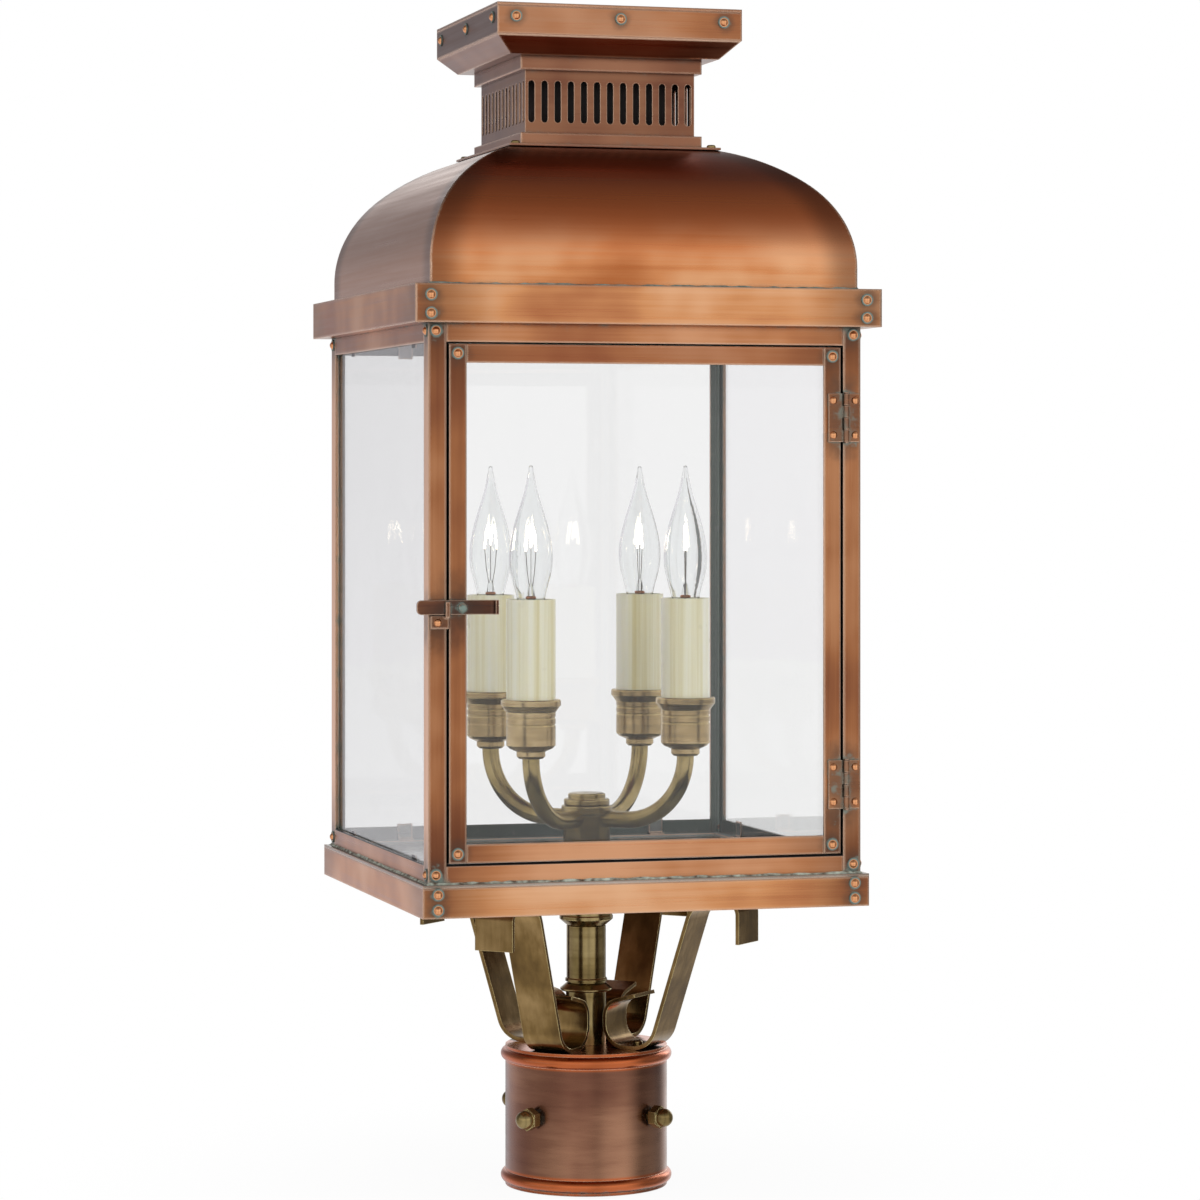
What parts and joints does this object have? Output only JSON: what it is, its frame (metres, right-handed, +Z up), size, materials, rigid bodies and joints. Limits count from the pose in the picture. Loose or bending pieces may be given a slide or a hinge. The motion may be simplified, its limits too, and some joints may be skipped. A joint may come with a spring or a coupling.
{
  "type": "post top lantern",
  "caption": "Square copper post top lantern with a hinged glazed door, domed vented roof, candle lights and a round fitter that slips over a post.",
  "frame": {"origin": "on the fitter's axis at its bottom edge, where the post enters", "axes": "+Z up along the post and the stem, the door faces -Y, the hinges are at +X"},
  "size_m": [0.2414, 0.245, 0.61],
  "materials": {
    "antique_copper": "brushed antique copper with dark patina",
    "antique_brass": "antique brass, satin",
    "copper_rivet": "bright copper heads",
    "clear_glass": "clear",
    "bulb_glass": "clear, thin",
    "bulb_cap": "plated",
    "dark_floor": "dark patina",
    "ivory_sleeve": "satin ivory",
    "holder_body": "matt",
    "lead_cover": "matt"
  },
  "bodies": {
    "lantern_body": {"post_fitter": "antique_copper", "stem_tubes": "antique_brass", "stem_collars": "antique_brass", "threaded_rod": "antique_brass", "rod_nuts": "antique_brass", "scroll_straps": "antique_brass", "machine_screws": "antique_brass", "base_band": "antique_copper", "tray_bottom_plate": "antique_copper", "floor_plate": "dark_floor", "corner_post_front_left": "antique_copper", "corner_post_front_right": "antique_copper", "corner_post_back_right": "antique_copper", "corner_post_back_left": "antique_copper", "cage_top_rails": "antique_copper", "cage_bottom_rails": "antique_copper", "glass_back": "clear_glass", "glass_left": "clear_glass", "glass_right": "clear_glass", "glass_clips": "antique_copper", "cornice": "antique_copper", "roof_panels": "antique_copper", "roof_flange": "antique_copper", "vent_box": "antique_copper", "vent_liner": "antique_copper", "vent_collars": "antique_copper", "cap_pan": "antique_copper", "cap_rim": "antique_copper", "cap_lid": "antique_copper", "body_rivets": "copper_rivet", "hinge_post_leaves": "antique_copper", "hinge_pins": "antique_copper", "latch_keeper": "antique_copper", "hub_body": "antique_brass", "hub_cap": "antique_brass", "candle_arms": "antique_brass", "arm_leads": "lead_cover", "candle_cups": "antique_brass", "candle_sleeves": "ivory_sleeve", "lampholders": "holder_body"},
    "door": {"door_stiles": "antique_copper", "door_rails": "antique_copper", "door_glass": "clear_glass", "door_clips": "antique_copper", "door_rivets": "copper_rivet", "hinge_door_leaves": "antique_copper", "latch_pivot": "antique_copper"},
    "latch": {"latch_bar": "antique_copper"},
    "bulb_front_left": {"bulb_glass_front_left": "bulb_glass", "bulb_base_front_left": "bulb_cap"},
    "bulb_front_right": {"bulb_glass_front_right": "bulb_glass", "bulb_base_front_right": "bulb_cap"},
    "bulb_back_right": {"bulb_glass_back_right": "bulb_glass", "bulb_base_back_right": "bulb_cap"},
    "bulb_back_left": {"bulb_glass_back_left": "bulb_glass", "bulb_base_back_left": "bulb_cap"},
    "post_screw_1": {"post_screw_1": "antique_brass"},
    "post_screw_2": {"post_screw_2": "antique_brass"},
    "post_screw_3": {"post_screw_3": "antique_brass"},
    "post_screw_4": {"post_screw_4": "antique_brass"}
  },
  "joints": [
    {"name": "door_swing", "type": "hinge", "parent": "lantern_body", "child": "door", "pos_m": [0.1041, -0.11395, 0.3], "axis": [0, 0, 1], "range_deg": [0, 110]},
    {"name": "latch_turn", "type": "hinge", "parent": "door", "child": "latch", "pos_m": [-0.0957, -0.1138, 0.306], "axis": [0, 1, 0], "range_deg": [0, 90]},
    {"name": "bulb_lift_front_left", "type": "slide", "parent": "lantern_body", "child": "bulb_front_left", "axis": [0, 0, 1], "range_m": [0, 0.024]},
    {"name": "bulb_lift_front_right", "type": "slide", "parent": "lantern_body", "child": "bulb_front_right", "axis": [0, 0, 1], "range_m": [0, 0.024]},
    {"name": "bulb_lift_back_right", "type": "slide", "parent": "lantern_body", "child": "bulb_back_right", "axis": [0, 0, 1], "range_m": [0, 0.024]},
    {"name": "bulb_lift_back_left", "type": "slide", "parent": "lantern_body", "child": "bulb_back_left", "axis": [0, 0, 1], "range_m": [0, 0.024]},
    {"name": "post_screw_travel_1", "type": "slide", "parent": "lantern_body", "child": "post_screw_1", "axis": [-0.5878, 0.809, 0], "range_m": [-0.003, 0.0024]},
    {"name": "post_screw_travel_2", "type": "slide", "parent": "lantern_body", "child": "post_screw_2", "axis": [-0.809, -0.5878, 0], "range_m": [-0.003, 0.0024]},
    {"name": "post_screw_travel_3", "type": "slide", "parent": "lantern_body", "child": "post_screw_3", "axis": [0.5878, -0.809, 0], "range_m": [-0.003, 0.0024]},
    {"name": "post_screw_travel_4", "type": "slide", "parent": "lantern_body", "child": "post_screw_4", "axis": [0.809, 0.5878, 0], "range_m": [-0.003, 0.0024]}
  ]
}
